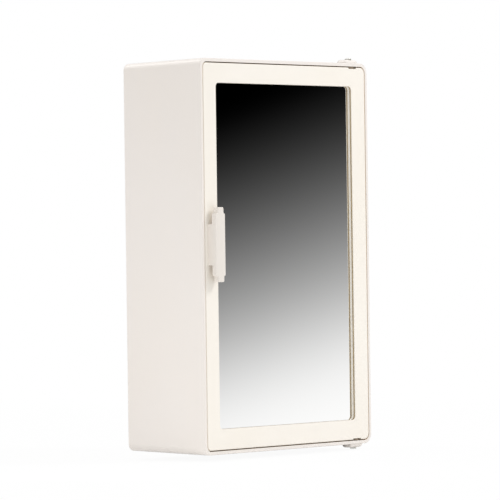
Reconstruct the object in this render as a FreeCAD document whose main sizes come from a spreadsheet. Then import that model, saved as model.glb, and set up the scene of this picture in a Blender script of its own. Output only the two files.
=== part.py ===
"""Bathroom mirror cabinet: a moulded box with shelves and a hinged mirror door, in millimetres.

X runs to the right, Y to the back and Z up. The origin is the middle of the back face, on the wall.
"""
import FreeCAD, Part
import Sketcher
import os
import re

# Driving sizes: name, value and what it measures.
SIZES = {
    # moulded box
    "shell_width": (254.0, "outside width"),
    "shell_height": (355.6, "outside height"),
    "shell_depth": (90.8, "wall face to front rim"),
    "draft": (2.6, "lean of each side towards the middle, from the rim to the wall"),
    "wall": (3.2, "rim of the box round the door"),
    "side_wall": (2.6, "sides, top and bottom where they are thinnest, at the back"),
    "back_wall": (3.0, "back wall"),
    "swing_gap": (1.5, "between the swinging door's hinge edge and the step behind it"),
    "latch_corner": (6.5, "outside rounding of the two edges on the latch side"),
    "hinge_corner": (10.0, "outside rounding of the two edges on the hinge side"),
    "back_edge": (1.5, "rounding round the back"),
    "rim_edge": (0.7, "rounding round the outside of the front rim"),
    "rim_inner_edge": (0.4, "rounding round the inside of the front rim"),
    "inner_round": (1.2, "where the walls meet the back, inside"),
    # holes for the wall screws
    "fixing_span_x": (180.0, "between the wall screws, across"),
    "fixing_span_z": (280.0, "between the wall screws, upwards"),
    "fixing_radius": (2.75, "hole for a wall screw"),
    "fixing_pad_radius": (8.0, "raised pad round each hole"),
    "fixing_pad_rise": (2.0, "height of that pad"),
    # shelves and the ledges that carry them
    "upper_shelf": (58.0, "underside of the upper shelf above the middle"),
    "lower_shelf": (-62.0, "underside of the lower shelf above the middle"),
    "shelf_depth": (58.0, "front to back"),
    "shelf_thick": (3.0, "shelf board"),
    "shelf_gap": (0.5, "play between a shelf and the walls"),
    "shelf_lip_rise": (10.0, "height of the front lip over the underside"),
    "shelf_lip_thick": (3.0, "front lip"),
    "shelf_edge": (1.0, "rounding of the lip"),
    "ledge_width": (7.0, "reach of a ledge from the side wall"),
    "ledge_thick": (3.0, "ledge"),
    "ledge_length": (50.0, "ledge, from the back wall"),
    "small_edge": (0.8, "rounding of the ledges, lugs and catch"),
    # door frame
    "door_gap": (0.85, "between the door and the box, all round"),
    "door_thick": (13.0, "front to back"),
    "latch_stile": (18.1, "upright side of the frame with the handle"),
    "hinge_stile": (21.2, "upright side of the frame with the hinges"),
    "top_rail": (17.8, "upper side of the frame"),
    "bottom_rail": (18.7, "lower side of the frame"),
    "door_latch_corner": (5.0, "corner rounding on the latch side"),
    "door_hinge_corner": (5.8, "corner rounding on the hinge side"),
    "door_edge": (1.0, "rounding round the front"),
    "door_back_edge": (0.6, "rounding round the back"),
    "window_corner": (4.0, "corner rounding of the opening"),
    "window_edge": (0.3, "rounding of the opening's front edge"),
    "groove_setback": (0.6, "shadow groove round the opening, behind the front"),
    "groove_width": (1.6, "shadow groove, front to back"),
    "groove_depth": (1.2, "shadow groove, into the frame"),
    "bezel": (3.3, "front skin, which sets the glass back"),
    "skirt": (2.5, "outer wall of the frame"),
    "seat_wall": (2.0, "wall round the glass"),
    "corner_block": (14.0, "solid corner on the latch side"),
    "hinge_block": (28.0, "solid corner on the hinge side"),
    "middle_block": (7.0, "half length of the solid middle of a rail or the hinge stile"),
    "handle_block": (24.0, "half height of the solid middle of the latch stile"),
    # glass, pads and back of the door
    "mirror_lap": (3.0, "glass behind the frame"),
    "mirror_gap": (0.4, "play round the glass"),
    "mirror_thick": (3.0, "glass"),
    "mirror_arris": (0.4, "ground edge of the glass"),
    "foam_width": (9.0, "foam strip"),
    "foam_inset": (4.0, "foam strip from the edge of the glass"),
    "panel_thick": (2.0, "back panel of the door"),
    "panel_gap": (0.3, "play round the back panel"),
    "least_round": (0.5, "smallest corner rounding of a hollow or of the back panel"),
    "panel_screw_inset": (8.5, "corner screw from the door's edges"),
    # hinge
    "pivot_inset": (23.0, "pivot from the box's side"),
    "pivot_depth": (5.0, "pivot behind the front"),
    "boss_width": (17.5, "hinge boss, across"),
    "boss_depth": (13.0, "hinge boss, front to back"),
    "boss_setback": (0.9, "hinge boss behind the front rim"),
    "boss_rise": (3.2, "hinge boss over the wall"),
    "boss_round": (6.0, "upright corners of the boss at its back"),
    "boss_edge": (2.8, "rounding of the boss's face"),
    "pin_radius": (2.0, "hinge pin"),
    "pin_press": (0.02, "play of the pin in the box"),
    "pin_play": (0.06, "running play of the pin in its bush"),
    "pin_reach": (8.0, "pin inside the door's edge"),
    "pin_head_radius": (3.0, "head of the pin"),
    "pin_head_thick": (1.4, "head of the pin"),
    "pin_head_edge": (0.6, "rounding of the head"),
    "bush_radius": (3.5, "barrel of the bush"),
    "bush_length": (9.5, "bush inside the door's edge"),
    "bush_press": (0.02, "play of the bush in the frame"),
    "flange_radius": (5.0, "flange of the bush"),
    "flange_gap": (0.3, "between the flange and the box"),
    "notch_width": (12.0, "notch for the flange in the door's edge"),
    "notch_depth": (1.3, "notch for the flange in the door's edge"),
    # handle
    "handle_height": (10.6, "middle of the handle above the middle of the box"),
    "handle_inset": (4.0, "plate and stem from the door's edge"),
    "plate_height": (67.0, "grip plate, end to end"),
    "plate_body": (56.0, "full-width length of the grip plate"),
    "plate_width": (13.5, "grip plate"),
    "plate_step": (2.7, "step at each side of the plate's ends"),
    "plate_thick": (5.5, "grip plate"),
    "plate_crown": (25.0, "radius of the plate's face, from side to side"),
    "plate_round": (1.2, "corners of the plate"),
    "plate_edge": (0.8, "rounding round the plate's face"),
    "stem_width": (9.0, "stem"),
    "stem_height": (37.0, "stem"),
    "standoff": (4.5, "plate in front of the door"),
    # screws
    "screw_radius": (1.3, "shank of every screw"),
    "screw_play": (0.05, "between a shank and its thread"),
    "screw_clear": (0.35, "between a shank and a plain hole"),
    "screw_head_radius": (2.7, "head of every screw"),
    "screw_head_thick": (1.5, "head of every screw"),
    "screw_head_edge": (0.9, "rounding of every head"),
    "slot_width": (0.8, "slot in a head"),
    "slot_depth": (0.7, "slot in a head"),
    "panel_screw_grip": (6.0, "panel screw in the frame"),
    "handle_screw_span": (16.0, "between the handle screws"),
    "handle_screw_grip": (6.0, "handle screw in the handle"),
    "handle_head_sink": (3.0, "counterbore over a handle screw"),
    "tip_room": (0.7, "empty thread past a screw's tip"),
    # magnetic catch
    "catch_pad_rise": (4.6, "pad on the side wall that carries the catch"),
    "catch_width": (11.0, "housing, across"),
    "catch_height": (24.0, "housing, upwards"),
    "catch_depth": (15.0, "housing, front to back"),
    "catch_gap": (0.4, "between the poles and the strike plate"),
    "ear_height": (10.0, "screw ear above and below the housing"),
    "ear_thick": (4.0, "screw ear"),
    "ear_setback": (4.0, "screw ear behind the housing's front"),
    "magnet_width": (5.0, "magnet, across"),
    "magnet_height": (16.0, "magnet, upwards"),
    "magnet_depth": (9.0, "magnet, front to back"),
    "pole_thick": (1.4, "steel pole plate"),
    "pole_proud": (0.6, "pole plates in front of the housing"),
    "magnet_play": (0.1, "play of magnet and poles in the housing"),
    "catch_screw_grip": (5.5, "catch screw in the box"),
    "strike_height": (46.0, "strike plate"),
    "strike_thick": (1.2, "strike plate"),
    "strike_edge": (2.0, "corners of the strike plate"),
    "strike_screw_span": (34.0, "between the strike screws"),
    # door stops
    "bumper_inset_x": (9.0, "bumper from the door's edge"),
    "bumper_inset_z": (30.0, "bumper from the door's top or bottom"),
    "bumper_radius": (4.0, "bumper"),
    "bumper_thick": (1.6, "bumper"),
    "bumper_edge": (0.6, "rounding of the bumper"),
    "stop_gap": (0.3, "between a bumper and its lug"),
    "lug_margin": (2.0, "lug round the bumper"),
    "lug_thick": (4.0, "lug, front to back"),
}

# Places that several pieces share, written in the sizes above.
INNER_X = "(shell_width / 2 - wall)"
INNER_Z = "(shell_height / 2 - wall)"
CAVITY_X = "(shell_width / 2 - draft - side_wall)"
CAVITY_Z = "(shell_height / 2 - draft - side_wall)"
FRONT = "(-shell_depth)"
DOOR_X = f"({INNER_X} - door_gap)"
DOOR_Z = f"({INNER_Z} - door_gap)"
DOOR_BACK = f"({FRONT} + door_thick)"
PANEL_FRONT = f"({DOOR_BACK} - panel_thick)"
GLASS_FRONT = f"({FRONT} + bezel)"
GLASS_BACK = f"({GLASS_FRONT} + mirror_thick)"
PIVOT_X = "(shell_width / 2 - pivot_inset)"
PIVOT_Y = f"({FRONT} + pivot_depth)"
HANDLE_X = f"(handle_inset - {DOOR_X})"
STEM_X = f"({HANDLE_X} + stem_width / 2)"
SWING = "sqrt(pow(pivot_inset - wall - door_gap; 2) + pow(door_thick - pivot_depth; 2))"
STEP = f"({PIVOT_Y} + {SWING} + swing_gap)"
CATCH_X = f"(catch_pad_rise + catch_width / 2 - {INNER_X})"
CATCH_FRONT = f"({DOOR_BACK} + strike_thick + catch_gap + pole_proud)"
BUMPER_X = f"(bumper_inset_x - {DOOR_X})"
BUMPER_Z = f"({DOOR_Z} - bumper_inset_z)"
STOP_FACE = f"({DOOR_BACK} + bumper_thick + stop_gap)"
SEAT_GROWTH = "(mirror_lap + mirror_gap)"

DOOR_OUTLINE = (f"-{DOOR_X}", DOOR_X, f"-{DOOR_Z}", DOOR_Z)
WINDOW = (f"latch_stile - {DOOR_X}", f"{DOOR_X} - hinge_stile",
          f"bottom_rail - {DOOR_Z}", f"{DOOR_Z} - top_rail")

START, END, CENTRE = range(1, 4)
PLANES = {"x": "YZ_Plane", "y": "XZ_Plane", "z": "XY_Plane"}
TOUCH = 1e-6
LEAST_STEEPNESS = 8

doc = FreeCAD.newDocument("mirror_cabinet")
sheet = doc.addObject("Spreadsheet::Sheet", "dims")
for row, (name, (value, meaning)) in enumerate(SIZES.items(), 1):
    sheet.set(f"A{row}", str(value))
    sheet.setAlias(f"A{row}", name)
    sheet.set(f"B{row}", meaning)
doc.recompute()


def size(name):
    """A driving size as the sheet holds it."""
    return float(sheet.get(name))


def bind(item, prop, text):
    """Tie a property to an expression; every size named in the text is read from the sheet."""
    tied = re.sub(r"[a-z_]+", lambda word: f"dims.{word[0]}" if word[0] in SIZES else word[0], text)
    item.setExpression(prop, tied)


def new_body(label, place=("0", "0", "0")):
    """An empty piece, whose own origin lies at the given place."""
    body = doc.addObject("PartDesign::Body", label)
    body.Label = label
    body.AllowCompound = True
    for axis, text in zip("xyz", place):
        bind(body, f"Placement.Base.{axis}", text)
    return body


def draw_rectangle(drawing, left, right, low, high):
    first = drawing.GeometryCount
    corners = [FreeCAD.Vector(*at) for at in ((0, 0), (1, 0), (1, 1), (0, 1))]
    sides = range(len(corners))
    for start, end in zip(corners, corners[1:] + corners[:1]):
        drawing.addGeometry(Part.LineSegment(start, end))
    for side in sides:
        after = first + (side + 1) % len(corners)
        direction = ("Horizontal", "Vertical")[side % 2]
        drawing.addConstraint(Sketcher.Constraint("Coincident", first + side, END, after, START))
        drawing.addConstraint(Sketcher.Constraint(direction, first + side))
    for corner, across, up in ((first, left, low), (first + 2, right, high)):
        place_point(drawing, corner, START, across, up)


def draw_circle(drawing, across, up, radius):
    circle = drawing.addGeometry(Part.Circle(FreeCAD.Vector(), FreeCAD.Vector(0, 0, 1), 1))
    place_point(drawing, circle, CENTRE, across, up)
    tie = drawing.addConstraint(Sketcher.Constraint("Radius", circle, 1.0))
    bind(drawing, f"Constraints[{tie}]", radius)


def place_point(drawing, curve, point, across, up):
    """Measure a curve's point from the sketch's origin."""
    for kind, text in (("DistanceX", across), ("DistanceY", up)):
        tie = drawing.addConstraint(Sketcher.Constraint(kind, curve, point, 1.0))
        bind(drawing, f"Constraints[{tie}]", text)


def draw(body, name, axis, level, shapes):
    """A sketch square to an axis. A shape of four texts is a rectangle, one of three a circle."""
    drawing = body.newObject("Sketcher::SketchObject", f"{name}_sketch")
    plane = next(item for item in body.Origin.OriginFeatures if item.Role == PLANES[axis])
    drawing.AttachmentSupport = [(plane, "")]
    drawing.MapMode = "FlatFace"
    bind(drawing, "AttachmentOffset.Base.z", level)
    for shape in shapes:
        (draw_rectangle if len(shape) == 4 else draw_circle)(drawing, *shape)
    return drawing


def ends(axis, span):
    """Low and high end of a span along the sketch's normal, which points to the front for axis y."""
    low, high = span
    return (f"-({high})", f"-({low})") if axis == "y" else (low, high)


def grow(body, name, axis, span, *shapes, flare="0"):
    """Add the shapes' prisms to a piece, over a span of the axis; a flare widens them on the way up."""
    low, high = ends(axis, span)
    pad = body.newObject("PartDesign::Pad", name)
    pad.Profile = draw(body, name, axis, low, shapes)
    bind(pad, "Length", f"({high}) - ({low})")
    bind(pad, "TaperAngle", flare)
    doc.recompute()


def cut(body, name, axis, span, *shapes):
    """Take the shapes' prisms out of a piece, over a span of the axis."""
    low, high = ends(axis, span)
    full = body.Tip.Shape.Volume
    pocket = body.newObject("PartDesign::Pocket", name)
    pocket.Profile = draw(body, name, axis, high, shapes)
    bind(pocket, "Length", f"({high}) - ({low})")
    doc.recompute()
    if pocket.Shape.Volume >= full - TOUCH:
        raise RuntimeError(f"{name} takes nothing out of {body.Label}")


def combine(body, name, tool, kind):
    """Join a shape that was drawn by itself to a piece, or cut it out."""
    joint = body.newObject("PartDesign::Boolean", name)
    joint.Type = kind
    joint.setObjects([tool])
    body.Tip = joint
    doc.recompute()


def soften(body, name, radius, wanted, kind="Fillet"):
    """Round, or bevel, the edges of a piece that the test picks."""
    base = body.Tip
    edges = [f"Edge{n}" for n, edge in enumerate(base.Shape.Edges, 1) if wanted(edge)]
    rounding = body.newObject(f"PartDesign::{kind}", name)
    rounding.Base = (base, edges)
    bind(rounding, "Size" if kind == "Chamfer" else "Radius", radius)
    doc.recompute()


def runs(edge, axis):
    """True for a straight edge along the axis."""
    box = edge.BoundBox
    lengths = {"x": box.XLength, "y": box.YLength, "z": box.ZLength}
    return all(length < TOUCH for name, length in lengths.items() if name != axis)


def runs_back(edge):
    """True for an edge that leads from front to back, square to the front or leaning a little."""
    box = edge.BoundBox
    return box.YLength > LEAST_STEEPNESS * max(box.XLength, box.ZLength)


def around(body, axis, level, outer=True):
    """Test for the edges round a piece's flat faces at a level of the axis: outlines or openings."""
    flat = [face for face in body.Tip.Shape.Faces if abs(getattr(face.CenterOfMass, axis) - level) < TOUCH]
    wires = [wire for face in flat for wire in face.Wires if wire.isSame(face.OuterWire) == outer]
    edges = [edge for wire in wires for edge in wire.Edges]
    return lambda edge: any(edge.isSame(other) for other in edges)


def loop(body, axis, far, outer=True):
    """Test for the edges round a piece's lowest, or highest, flat faces: outlines or openings."""
    levels = [getattr(vertex.Point, axis) for vertex in body.Tip.Shape.Vertexes]
    return around(body, axis, max(levels) if far else min(levels), outer)


def discs(places, radius):
    return [place + (radius,) for place in places]


def grown(outline, by):
    left, right, low, high = outline
    return (f"{left} - ({by})", f"{right} + ({by})", f"{low} - ({by})", f"{high} + ({by})")


def within(reach_x, reach_z):
    """Test for the edges whose middles lie nearer than these reaches to the piece's middle."""
    return lambda edge: abs(edge.CenterOfMass.x) < reach_x and abs(edge.CenterOfMass.z) < reach_z


def round_corners(body, name, latch_radius, hinge_radius, wanted=lambda edge: True):
    """Round a piece's corners seen from the front, with a radius for each side of the door."""
    for side, radius, sign in (("latch", latch_radius, -1), ("hinge", hinge_radius, 1)):
        def chosen(edge, sign=sign):
            return runs_back(edge) and edge.CenterOfMass.x * sign > 0 and wanted(edge)

        soften(body, f"{name}_{side}", radius, chosen)


def hollow(body, name, span, outline, latch_radius, hinge_radius):
    """Take a hollow with rounded corners out of a piece, over a span of Y."""
    tool = new_body(f"{name}_tool")
    grow(tool, f"{name}_block", "y", span, outline)
    round_corners(tool, f"{name}_corner", latch_radius, hinge_radius)
    combine(body, name, tool, "Cut")
    return tool


def make_shell():
    body = new_body("cabinet_shell")
    back_outline = ("draft - shell_width / 2", "shell_width / 2 - draft",
                    "draft - shell_height / 2", "shell_height / 2 - draft")
    grow(body, "box", "y", (FRONT, "0"), back_outline, flare="atan(draft / shell_depth)")
    round_corners(body, "outside", "latch_corner", "hinge_corner")
    soften(body, "wall_side_rounding", "back_edge", loop(body, "y", far=True))
    hollow(body, "recess", (FRONT, STEP), (f"-{INNER_X}", INNER_X, f"-{INNER_Z}", INNER_Z),
           "door_latch_corner + door_gap", "door_hinge_corner + door_gap")
    tool = hollow(body, "inside", (STEP, "-back_wall"), (f"-{CAVITY_X}", CAVITY_X, f"-{CAVITY_Z}", CAVITY_Z),
                  "max(latch_corner - side_wall; least_round)", "max(hinge_corner - side_wall; least_round)")
    soften(body, "floor_rounding", "inner_round", around(body, "y", -size("back_wall")))
    step_level = min(vertex.Point.y for vertex in tool.Shape.Vertexes)
    soften(body, "step_rounding", "small_edge", around(body, "y", step_level, outer=False))
    soften(body, "rim_rounding", "rim_edge", loop(body, "y", far=False))
    soften(body, "rim_inner_rounding", "rim_inner_edge", loop(body, "y", far=False, outer=False))
    add_ledges(body)
    add_stop_lugs(body)
    add_catch_pad(body)
    add_fixings(body)
    for end, sign in (("top", ""), ("bottom", "-")):
        add_hinge_boss(body, end, sign)
    return body


def standing_out(front):
    """Test for the front edges, at this depth, of what stands out from the side walls."""
    limit = size("shell_width") / 2 - size("draft") - size("side_wall") - TOUCH
    return lambda edge: abs(edge.CenterOfMass.y - front) < TOUCH and abs(edge.CenterOfMass.x) < limit


def add_ledges(body):
    """Ledges on the side walls, two for each shelf."""
    sides = ((f"-{CAVITY_X} - side_wall / 2", f"ledge_width - {CAVITY_X}"),
             (f"{CAVITY_X} - ledge_width", f"{CAVITY_X} + side_wall / 2"))
    heights = [(f"{shelf} - ledge_thick", shelf) for shelf in ("upper_shelf", "lower_shelf")]
    shapes = [side + height for side in sides for height in heights]
    grow(body, "ledges", "y", ("-back_wall - ledge_length", "-back_wall / 2"), *shapes)
    soften(body, "ledge_rounding", "small_edge", standing_out(-size("back_wall") - size("ledge_length")))


def add_stop_lugs(body):
    """Lugs on the latch wall that the door's bumpers meet."""
    reach = "bumper_radius + lug_margin"
    shapes = [(f"-{INNER_X} - wall / 2", f"{BUMPER_X} + {reach}",
               f"{sign}{BUMPER_Z} - ({reach})", f"{sign}{BUMPER_Z} + {reach}") for sign in ("", "-")]
    grow(body, "stop_lugs", "y", (STOP_FACE, f"{STOP_FACE} + lug_thick"), *shapes)
    face = size("door_thick") + size("bumper_thick") + size("stop_gap") - size("shell_depth")
    soften(body, "lug_rounding", "small_edge", standing_out(face))


def add_catch_pad(body):
    """Thick pad on the latch wall, with threads for the catch's screws."""
    half = "(catch_height / 2 + ear_height)"
    deep = (f"{CATCH_FRONT} + ear_setback", f"{CATCH_FRONT} + catch_depth")
    shape = (f"-{INNER_X} - wall / 2", f"catch_pad_rise - {INNER_X}",
             f"handle_height - {half}", f"handle_height + {half}")
    grow(body, "catch_pad", "y", deep, shape)
    thread = (f"catch_pad_rise - {INNER_X} - catch_screw_grip - tip_room", f"catch_pad_rise - {INNER_X}")
    cut(body, "catch_threads", "x", thread, *discs(catch_screw_places(), "screw_radius + screw_play"))


def catch_screw_places():
    """Middles of the catch's two screws, on its ears."""
    middle = f"{CATCH_FRONT} + (ear_setback + catch_depth) / 2"
    rise = "(catch_height + ear_height) / 2"
    return [(middle, f"handle_height {sign} {rise}") for sign in "+-"]


def add_fixings(body):
    """Four holes for wall screws, each in a raised pad."""
    signs = ("", "-")
    places = [(f"{side}fixing_span_x / 2", f"{end}fixing_span_z / 2") for side in signs for end in signs]
    pads = discs(places, "fixing_pad_radius")
    holes = discs(places, "fixing_radius")
    grow(body, "fixing_pads", "y", ("-back_wall - fixing_pad_rise", "-back_wall / 2"), *pads)
    cut(body, "fixing_holes", "y", ("-back_wall - fixing_pad_rise", "0"), *holes)


def outward(sign, inner, outer):
    """A span of Z on the top, or its mirror image on the bottom."""
    return (f"-({outer})", f"-({inner})") if sign else (inner, outer)


def add_hinge_boss(body, end, sign):
    """Raised boss on the outside of the top or bottom wall, bored for the hinge pin."""
    boss = new_body(f"{end}_boss")
    near = f"{FRONT} + boss_setback"
    crown = "shell_height / 2 + boss_rise"
    shape = (f"{PIVOT_X} - boss_width / 2", f"{PIVOT_X} + boss_width / 2", near, f"{near} + boss_depth")
    grow(boss, f"{end}_boss_block", "z", outward(sign, "shell_height / 2 - wall / 2", crown), shape)
    rear = boss.Tip.Shape.BoundBox.YMax
    soften(boss, f"{end}_boss_corners", "boss_round",
           lambda edge: runs(edge, "z") and edge.CenterOfMass.y > rear - TOUCH)
    soften(boss, f"{end}_boss_rounding", "boss_edge", loop(boss, "z", far=not sign))
    combine(body, f"{end}_boss_joint", boss, "Fuse")
    bore = (PIVOT_X, PIVOT_Y, "pin_radius + pin_press")
    cut(body, f"{end}_pin_bore", "z", outward(sign, INNER_Z, crown), bore)


def make_shelf(label, height):
    """A moulded shelf with a raised lip along its front."""
    body = new_body(label, ("0", "-back_wall - shelf_gap", height))
    half = f"({CAVITY_X} - shelf_gap)"
    grow(body, f"{label}_board", "y", ("-shelf_depth", "0"), (f"-{half}", half, "0", "shelf_thick"))
    lip = (f"-{half}", half, "0", "shelf_lip_rise")
    grow(body, f"{label}_lip", "y", ("-shelf_depth", "shelf_lip_thick - shelf_depth"), lip)
    board_top = size("shelf_thick")
    board_front = -size("shelf_depth")

    def lip_edge(edge):
        middle = edge.CenterOfMass
        return runs(edge, "x") and (middle.z > board_top + TOUCH or middle.y < board_front + TOUCH)

    soften(body, f"{label}_rounding", "shelf_edge", lip_edge)
    return body


def make_hinge_pin(label, sign):
    """Headed pin, driven through the boss from outside into the door's bush."""
    body = new_body(label, (PIVOT_X, PIVOT_Y, "0"))
    seat = "(shell_height / 2 + boss_rise)"
    head = outward(sign, seat, f"{seat} + pin_head_thick")
    grow(body, f"{label}_head", "z", head, ("0", "0", "pin_head_radius"))
    soften(body, f"{label}_dome", "pin_head_edge", loop(body, "z", far=not sign))
    grow(body, f"{label}_shank", "z", outward(sign, f"{DOOR_Z} - pin_reach", seat), ("0", "0", "pin_radius"))
    return body


def make_hinge_bush(label, sign):
    """Flanged bush in the door's edge, which runs on the hinge pin."""
    body = new_body(label, (PIVOT_X, PIVOT_Y, "0"))
    seat = f"({DOOR_Z} - notch_depth)"
    tip = f"({DOOR_Z} - bush_length)"
    face = f"({INNER_Z} - flange_gap)"
    grow(body, f"{label}_flange", "z", outward(sign, seat, face), ("0", "0", "flange_radius"))
    grow(body, f"{label}_barrel", "z", outward(sign, tip, seat), ("0", "0", "bush_radius"))
    cut(body, f"{label}_bore", "z", outward(sign, tip, face), ("0", "0", "pin_radius + pin_play"))
    return body


def make_door_frame():
    body = new_body("door_frame")
    grow(body, "frame", "y", (FRONT, DOOR_BACK), DOOR_OUTLINE)
    round_corners(body, "frame_corner", "door_latch_corner", "door_hinge_corner")
    cut(body, "window", "y", (FRONT, DOOR_BACK), WINDOW)
    margin = size("wall") + size("door_gap")
    stile = min(size("latch_stile"), size("hinge_stile"))
    rail = min(size("top_rail"), size("bottom_rail"))
    inside = within((size("shell_width") - stile) / 2 - margin, (size("shell_height") - rail) / 2 - margin)
    round_corners(body, "window_corner", "window_corner", "window_corner", inside)
    soften(body, "window_rounding", "window_edge", loop(body, "y", far=False, outer=False))
    soften(body, "front_rounding", "door_edge", loop(body, "y", far=False))
    soften(body, "back_rounding", "door_back_edge", loop(body, "y", far=True))
    groove = (f"{FRONT} + groove_setback", f"{FRONT} + groove_setback + groove_width")
    groove_corner = "window_corner + groove_depth"
    hollow(body, "groove", groove, grown(WINDOW, "groove_depth"), groove_corner, groove_corner)
    cut(body, "glass_seat", "y", (GLASS_FRONT, DOOR_BACK), grown(WINDOW, SEAT_GROWTH))
    hollow(body, "rebate", (PANEL_FRONT, DOOR_BACK), grown(DOOR_OUTLINE, "-skirt"),
           "max(door_latch_corner - skirt; least_round)", "max(door_hinge_corner - skirt; least_round)")
    cut(body, "channels", "y", (GLASS_FRONT, PANEL_FRONT), *channel_shapes())
    for end, sign in (("top", ""), ("bottom", "-")):
        add_bush_seat(body, end, sign)
    add_frame_threads(body)
    return body


def channel_shapes():
    """Hollows behind the frame's front skin, each side split in two by a solid middle."""
    left, right, low, high = grown(WINDOW, f"{SEAT_GROWTH} + seat_wall")
    outer_left, outer_right, outer_low, outer_high = grown(DOOR_OUTLINE, "-skirt")
    latch = (outer_left, left)
    hinge = (right, outer_right)
    top = (high, outer_high)
    bottom = (outer_low, low)
    shapes = [latch + ("handle_height + handle_block", f"{DOOR_Z} - hinge_block"),
              latch + (f"hinge_block - {DOOR_Z}", "handle_height - handle_block"),
              hinge + ("middle_block", f"{DOOR_Z} - hinge_block"),
              hinge + (f"hinge_block - {DOOR_Z}", "-middle_block")]
    for rail in (top, bottom):
        shapes.append((f"corner_block - {DOOR_X}", "-middle_block") + rail)
        shapes.append(("middle_block", f"{DOOR_X} - hinge_block") + rail)
    return shapes


def add_bush_seat(body, end, sign):
    """Notch and bore in the door's top or bottom edge, for the hinge bush."""
    notch = (f"{PIVOT_X} - notch_width / 2", f"{PIVOT_X} + notch_width / 2",
             FRONT, f"{PIVOT_Y} + notch_width / 2")
    cut(body, f"{end}_notch", "z", outward(sign, f"{DOOR_Z} - notch_depth", DOOR_Z), notch)
    barrel = (PIVOT_X, PIVOT_Y, "bush_radius + bush_press")
    cut(body, f"{end}_bush_bore", "z", outward(sign, f"{DOOR_Z} - bush_length", DOOR_Z), barrel)


def panel_screw_places():
    """Middles of the screws through the door's back panel: the corners, and halfway along three sides."""
    across = f"({DOOR_X} - panel_screw_inset)"
    up = f"({DOOR_Z} - panel_screw_inset)"
    corners = [(f"{side}{across}", f"{end}{up}") for side in ("", "-") for end in ("", "-")]
    return corners + [("0", up), ("0", f"-{up}"), (across, "0")]


def strike_screw_places():
    return [(CATCH_X, f"handle_height {sign} strike_screw_span / 2") for sign in "+-"]


def handle_screw_places():
    return [(STEM_X, f"handle_height {sign} handle_screw_span / 2") for sign in "+-"]


def add_frame_threads(body):
    """Threads for the panel and strike screws, and counterbored holes for the handle screws."""
    threads = discs(panel_screw_places() + strike_screw_places(), "screw_radius + screw_play")
    cut(body, "panel_threads", "y", (f"{PANEL_FRONT} - panel_screw_grip - tip_room", PANEL_FRONT), *threads)
    holes = discs(handle_screw_places(), "screw_radius + screw_clear")
    cut(body, "handle_holes", "y", (FRONT, PANEL_FRONT), *holes)
    sinks = discs(handle_screw_places(), "screw_head_radius + screw_clear")
    cut(body, "handle_sinks", "y", (f"{PANEL_FRONT} - handle_head_sink", PANEL_FRONT), *sinks)


def make_mirror_glass():
    body = new_body("mirror_glass")
    grow(body, "glass", "y", (GLASS_FRONT, GLASS_BACK), grown(WINDOW, "mirror_lap"))
    soften(body, "glass_arris", "mirror_arris", loop(body, "y", far=False), "Chamfer")
    return body


def make_mirror_pads():
    """Two upright foam strips and two level ones between them, from the glass to the back panel."""
    body = new_body("mirror_pads")
    left, right, low, high = grown(WINDOW, "mirror_lap - foam_inset")
    uprights = [(left, f"{left} + foam_width", low, high), (f"{right} - foam_width", right, low, high)]
    inner = (f"{left} + foam_width + foam_inset", f"{right} - foam_width - foam_inset")
    levels = [inner + (low, f"{low} + foam_width"), inner + (f"{high} - foam_width", high)]
    grow(body, "foam", "y", (GLASS_BACK, PANEL_FRONT), *uprights, *levels)
    return body


def make_back_panel():
    body = new_body("door_back_panel")
    grow(body, "panel", "y", (PANEL_FRONT, DOOR_BACK), grown(DOOR_OUTLINE, "-skirt - panel_gap"))
    round_corners(body, "panel_corner", "max(door_latch_corner - skirt - panel_gap; least_round)",
                  "max(door_hinge_corner - skirt - panel_gap; least_round)")
    holes = discs(panel_screw_places() + strike_screw_places(), "screw_radius + screw_clear")
    cut(body, "panel_holes", "y", (PANEL_FRONT, DOOR_BACK), *holes)
    return body


def make_handle():
    """T-shaped pull: a crowned grip plate with stepped ends, on a shorter stem."""
    body = new_body("door_handle", (HANDLE_X, FRONT, "handle_height"))
    face = "-standoff - plate_thick"
    wide = ("0", "plate_width", "-plate_body / 2", "plate_body / 2")
    narrow = ("plate_step", "plate_width - plate_step", "-plate_height / 2", "plate_height / 2")
    grow(body, "plate", "y", (face, "-standoff"), wide)
    grow(body, "plate_ends", "y", (face, "-standoff"), narrow)
    soften(body, "plate_corners", "plate_round", lambda edge: runs(edge, "y"))
    crown = new_body("plate_crown_tool")
    roller = ("plate_width / 2", f"{face} + plate_crown", "plate_crown")
    grow(crown, "crown_round", "z", ("-plate_height / 2", "plate_height / 2"), roller)
    combine(body, "crowned_face", crown, "Common")
    front_zone = body.Tip.Shape.BoundBox.YMin + size("plate_thick") / 3
    soften(body, "plate_rounding", "plate_edge", lambda edge: edge.CenterOfMass.y < front_zone)
    stem = ("0", "stem_width", "-stem_height / 2", "stem_height / 2")
    grow(body, "stem", "y", ("-standoff - plate_thick / 2", "0"), stem)
    places = [("stem_width / 2", f"{sign}handle_screw_span / 2") for sign in ("", "-")]
    threads = discs(places, "screw_radius + screw_play")
    cut(body, "handle_threads", "y", ("-handle_screw_grip - tip_room", "0"), *threads)
    return body


def make_screws(label, axis, head, shank, places):
    """Slotted pan-head screws, one at each place, with their heads at the high end."""
    body = new_body(label)
    grow(body, f"{label}_shanks", axis, shank, *discs(places, "screw_radius"))
    grow(body, f"{label}_heads", axis, head, *discs(places, "screw_head_radius"))
    soften(body, f"{label}_domes", "screw_head_edge", loop(body, axis, far=True))
    slots = [(f"{across} - screw_head_radius", f"{across} + screw_head_radius",
              f"{up} - slot_width / 2", f"{up} + slot_width / 2") for across, up in places]
    cut(body, f"{label}_slots", axis, (f"{head[1]} - slot_depth", head[1]), *slots)
    return body


def make_panel_screws():
    head = (DOOR_BACK, f"{DOOR_BACK} + screw_head_thick")
    shank = (f"{PANEL_FRONT} - panel_screw_grip", DOOR_BACK)
    return make_screws("panel_screws", "y", head, shank, panel_screw_places())


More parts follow.
